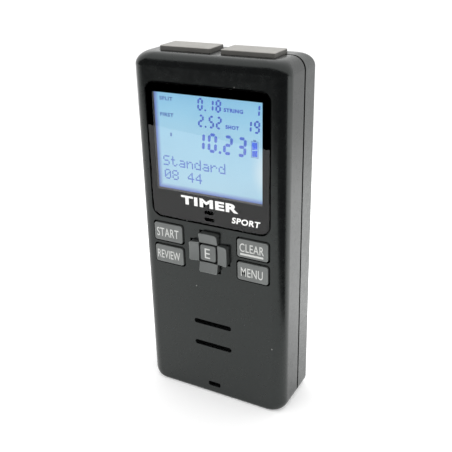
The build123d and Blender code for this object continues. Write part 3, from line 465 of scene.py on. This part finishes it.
ks = centre("start_key")
kr = centre("review_key")
kc = centre("clear_key")
km = centre("menu_key")
ke = centre("enter_key")
yk = top_of("start_key")
ye = top_of("enter_key")
lettering("start_legend", "START", "start", KEY_PRINT, ks[0] - 0.1, ks[1], 7.1, 2.6, yk, 0.03, 0.004, gap=1.05)
lettering("review_legend", "REVIEW", "review", KEY_PRINT, kr[0] - 0.1, kr[1], 7.4, 2.5, yk, 0.03, 0.004, gap=1.02)
lettering("clear_legend", "CLEAR", "clear", KEY_PRINT, kc[0] - 0.1, kc[1] + 0.35, 7.1, 2.45, yk, 0.03, 0.004, gap=1.05)
lettering("menu_legend", "MENU", "menu", KEY_PRINT, km[0] - 0.1, km[1] - 0.05, 6.5, 2.6, yk, 0.03, 0.004, gap=1.05)
lettering("enter_legend", "E", "enter", KEY_PRINT, ke[0] - 0.1, ke[1], 1.6, 2.95, ye, 0.03, 0.0)
bm = bmesh.new()
prism(bm, rounded(kc[0] - 3.5, kc[1] - 1.85, kc[0] + 3.3, kc[1] - 1.3, 0.12), yk - 0.03, yk)
add_mesh("clear_underline", bm, KEY_PRINT, "clear")

# ------------------------------------------------------------------ print on the window
yw = top_of("display_window")
lettering("window_title", "TIMER", "case", WHITE_PRINT, 0.1, 61.5, 17.4, 2.5, yw, 0.02, 0.045, gap=1.12)
lettering("window_subtitle", "SPORT", "case", WHITE_PRINT, 11.0, 58.15, 8.4, 1.75, yw, 0.02, 0.03, shear=0.15, gap=1.10)

# ------------------------------------------------------------------ display content
yd = top_of("display_polariser")
Y0, Y1 = yd - 0.03, yd - 0.005
SEG = ink_lit("segment_blue", (0.010, 0.075, 0.60), 0.85)
LABEL = ink_lit("label_blue", (0.025, 0.12, 0.50), 0.80)
DOT = ink_lit("dot_blue", (0.065, 0.165, 0.64), 0.85)
SEG_LOW = ink_lit("segment_blue_low", (0.040, 0.125, 0.68), 0.85)

SEGS = {
    "0": "abcdef", "1": "bc", "2": "abged", "3": "abgcd", "4": "fgbc", "5": "afgcd",
    "6": "afgecd", "7": "abc", "8": "abcdefg", "9": "abcdfg",
}


def digit(bm, ch, x0, z0, w, h, t, lean=0.07):
    g = t * 0.20
    m = h / 2

    def skew(p):
        return (x0 + p[0] + (p[1] - m) * lean, z0 + p[1])

    def hor(z, lo=0.0, hi=w):
        return [(lo + t * 0.55 + g, z), (lo + t * 0.85 + g, z + t / 2), (hi - t * 0.85 - g, z + t / 2), (hi - t * 0.55 - g, z), (hi - t * 0.85 - g, z - t / 2), (lo + t * 0.85 + g, z - t / 2)]

    def ver(x, zlo, zhi):
        return [(x, zlo + g), (x + t / 2, zlo + t * 0.35 + g), (x + t / 2, zhi - t * 0.35 - g), (x, zhi - g), (x - t / 2, zhi - t * 0.35 - g), (x - t / 2, zlo + t * 0.35 + g)]

    shapes = {
        "a": hor(h - t / 2), "g": hor(m), "d": hor(t / 2),
        "f": ver(t / 2, m, h - t / 2), "b": ver(w - t / 2, m, h - t / 2),
        "e": ver(t / 2, t / 2, m), "c": ver(w - t / 2, t / 2, m),
    }
    for s in SEGS[ch]:
        prism(bm, [skew(p) for p in shapes[s]], Y0, Y1)


def point(bm, x, z, s):
    prism(bm, rounded(x - s / 2, z - s / 2, x + s / 2, z + s / 2, s * 0.3, 2), Y0, Y1)


bm = bmesh.new()
for ch, x in (("0", -3.08), ("1", 0.02), ("8", 2.18)):
    digit(bm, ch, x, 86.25, 1.62, 3.3, 0.52)
point(bm, -0.82, 86.48, 0.48)
add_mesh("split_time_digits", bm, SEG, "case")
bm = bmesh.new()
for ch, x in (("2", -3.02), ("5", 0.04), ("2", 2.20)):
    digit(bm, ch, x, 81.95, 1.62, 3.3, 0.52)
point(bm, -0.86, 82.2, 0.48)
add_mesh("first_time_digits", bm, SEG, "case")
bm = bmesh.new()
for ch, x in (("1", -3.95), ("0", -0.38), ("2", 4.15), ("3", 8.05)):
    digit(bm, ch, x, 75.5, 2.7, 5.2, 0.80)
point(bm, 3.13, 75.85, 0.72)
add_mesh("main_time_digits", bm, SEG_LOW, "case")
bm = bmesh.new()
digit(bm, "1", 12.92, 86.25, 1.65, 3.3, 0.52)
add_mesh("string_digits", bm, SEG, "case")
bm = bmesh.new()
digit(bm, "1", 10.62, 82.05, 1.65, 3.3, 0.52)
digit(bm, "9", 12.85, 82.05, 1.68, 3.3, 0.52)
add_mesh("shot_digits", bm, SEG, "case")

lettering("split_label", "SPLIT", "case", LABEL, -12.5, 88.45, 4.0, 1.02, Y1, 0.025, 0.035, gap=1.15)
lettering("first_label", "FIRST", "case", LABEL, -12.5, 84.15, 4.1, 1.02, Y1, 0.025, 0.035, gap=1.15)
lettering("string_label", "STRING", "case", SEG, 7.2, 87.15, 5.45, 1.0, Y1, 0.025, 0.05, gap=1.15)
lettering("shot_label", "SHOT", "case", SEG, 6.8, 82.85, 3.8, 1.0, Y1, 0.025, 0.05, gap=1.15)
lettering("par_label", "1", "case", LABEL, -11.5, 78.9, 0.45, 0.95, Y1, 0.025, 0.0)

# battery symbol: outline, cap and two filled cells with a slanted split
bm = bmesh.new()
bx0, bx1, bz0, bz1 = 12.05, 14.05, 75.75, 80.05
for x0, z0, x1, z1 in ((bx0, bz0, bx1, bz0 + 0.12), (bx0, bz1 - 0.12, bx1, bz1), (bx0, bz0 + 0.13, bx0 + 0.12, bz1 - 0.13), (bx1 - 0.12, bz0 + 0.13, bx1, bz1 - 0.13), (bx0 + 0.6, bz1 + 0.02, bx1 - 0.6, bz1 + 0.32)):
    prism(bm, [(x0, z0), (x1, z0), (x1, z1), (x0, z1)], Y0, Y1)
add_mesh("battery_outline", bm, LABEL, "case")
BATT = ink_lit("battery_blue", (0.025, 0.11, 0.76), 0.95)
bm = bmesh.new()
prism(bm, [(bx0 + 0.28, bz0 + 0.28), (bx1 - 0.28, bz0 + 0.28), (bx1 - 0.28, bz0 + 2.05), (bx0 + 0.28, bz0 + 1.75)], Y0, Y1)
prism(bm, [(bx0 + 0.28, bz0 + 2.0), (bx1 - 0.28, bz0 + 2.3), (bx1 - 0.28, bz1 - 0.28), (bx0 + 0.28, bz1 - 0.28)], Y0, Y1)
add_mesh("battery_level", bm, BATT, "case")

DOTS = {
    "S": "01111 10000 10000 01110 00001 00001 11110", "t": "01000 01000 11100 01000 01000 01001 00110",
    "a": "00000 00000 01110 00001 01111 10001 01111", "n": "00000 00000 10110 11001 10001 10001 10001",
    "d": "00001 00001 01101 10011 10001 10001 01111", "r": "00000 00000 10110 11001 10000 10000 10000",
    "0": "01110 10001 10011 10101 11001 10001 01110", "8": "01110 10001 10001 01110 10001 10001 01110",
    "4": "00010 00110 01010 10010 11111 00010 00010", " ": "00000 00000 00000 00000 00000 00000 00000",
}


def dot_line(name, words, x0, ztop, pitch=0.405, fill=0.92):
    bm = bmesh.new()
    for i, ch in enumerate(words):
        for r, row in enumerate(DOTS[ch].split()):
            for c, v in enumerate(row):
                if v == "1":
                    x = x0 + (i * 6 + c) * pitch
                    z = ztop - (r + 1) * pitch
                    prism(bm, [(x, z), (x + pitch * fill, z), (x + pitch * fill, z + pitch * fill), (x, z + pitch * fill)], Y0, Y1)
    return add_mesh(name, bm, DOT, "case")


dot_line("mode_dots", "Standard", -14.4, 72.95)
dot_line("count_dots", "08 44", -14.2, 69.1)

# ------------------------------------------------------------------ stage
edge_a, edge_b = Vector((-0.190, -0.253, 0)), Vector((-0.088, -0.2335, 0))
along = (edge_b - edge_a).normalized()
mid = edge_a


def sheet(name, pts, mat):
    me = bpy.data.meshes.new(name)
    me.from_pydata([tuple(p) for p in pts], [], [tuple(range(len(pts)))])
    me.materials.append(mat)
    o = bpy.data.objects.new(name, me)
    scene.collection.objects.link(o)
    return o


floor_mat = Mat("stage_white", (0.88, 0.88, 0.88), 0.9, spec=0.1)
floor_mat.vary(3, 0.01)
floor_mat.b.inputs["Emission Color"].default_value = (1, 1, 1, 1)
fsep = floor_mat.nt.nodes.new("ShaderNodeSeparateXYZ")
floor_mat.nt.links.new(floor_mat.co, fsep.inputs["Vector"])
# painted light: the floor glows unevenly, dim in front, brightest in a band just behind the object, dim far off; it
# lights the sides' reflections and fills the contact shadow
painted_light_pool = floor_mat.ramp(floor_mat.span(fsep.outputs["Y"], 0.0, 1.0, -0.10, 0.50), [(0.0, (0.22,) * 3), (0.17, (0.24,) * 3), (0.25, (0.95,) * 3), (0.42, (0.90,) * 3), (0.60, (0.12,) * 3), (1.0, (0.06,) * 3)])
floor_mat.nt.links.new(painted_light_pool, floor_mat.b.inputs["Emission Color"])
floor_mat.b.inputs["Emission Strength"].default_value = 1.0
near_l, near_r = mid - along * 3, mid + along * 3
floor = sheet("floor", [near_l, near_r, (4, 4, 0), (-4, 4, 0)], floor_mat.m)
apron = sheet("floor_apron", [near_r, near_l, (-4, -4, 0), (4, -4, 0)], floor_mat.m)
# the apron in front stays out of reflections, so the dark card shows there instead: painted reflection
apron.visible_glossy = False
# painted reflections: dark_card and dark_flag are seen only by glossy rays, putting dark into the case's reflections in
# front and to the right
dark = Mat("stage_dark", (0.0, 0.0, 0.0), 1.0, spec=0.0)
card = sheet("dark_card", [near_l, near_r, near_r + Vector((0, 0, 0.42)), near_l + Vector((0, 0, 0.42))], dark.m)
card.visible_camera = False
card.visible_diffuse = False
card.visible_shadow = False
card.visible_transmission = False

flag = sheet("dark_flag", [(0.070, -0.20, 0.0006), (0.7, -0.30, 0.0006), (0.7, 0.0, 0.0006), (0.070, 0.0, 0.0006)], dark.m)
flag.visible_camera = False
flag.visible_diffuse = False
flag.visible_shadow = False
flag.visible_transmission = False

world = bpy.data.worlds.new("studio")
scene.world = world
world.use_nodes = True
world.node_tree.nodes["Background"].inputs["Color"].default_value = (1, 1, 1, 1)
world.node_tree.nodes["Background"].inputs["Strength"].default_value = 1.22


def area(name, loc, look, size, power, color=(1, 1, 1)):
    li = bpy.data.lights.new(name, "AREA")
    li.shape = "RECTANGLE"
    li.size, li.size_y = size
    li.energy = power
    li.color = color
    o = bpy.data.objects.new(name, li)
    o.location = loc
    o.rotation_euler = (Vector(look) - Vector(loc)).to_track_quat("-Z", "Y").to_euler()
    scene.collection.objects.link(o)
    return o


# ------------------------------------------------------------------ camera
cam_data = bpy.data.cameras.new("camera")
cam_data.lens = 55.27
cam_data.sensor_width = 36.0
cam_data.clip_start = 0.005
cam = bpy.data.objects.new("camera", cam_data)
right = Vector((0.88035, 0.47387, -0.02083))
up = Vector((-0.17481, 0.36496, 0.91446))
back = Vector((0.44094, -0.80141, 0.40413))
cam.matrix_world = Matrix((
    (right.x, up.x, back.x, 0.08621),
    (right.y, up.y, back.y, -0.15669),
    (right.z, up.z, back.z, 0.13050),
    (0, 0, 0, 1),
))
scene.collection.objects.link(cam)
scene.camera = cam
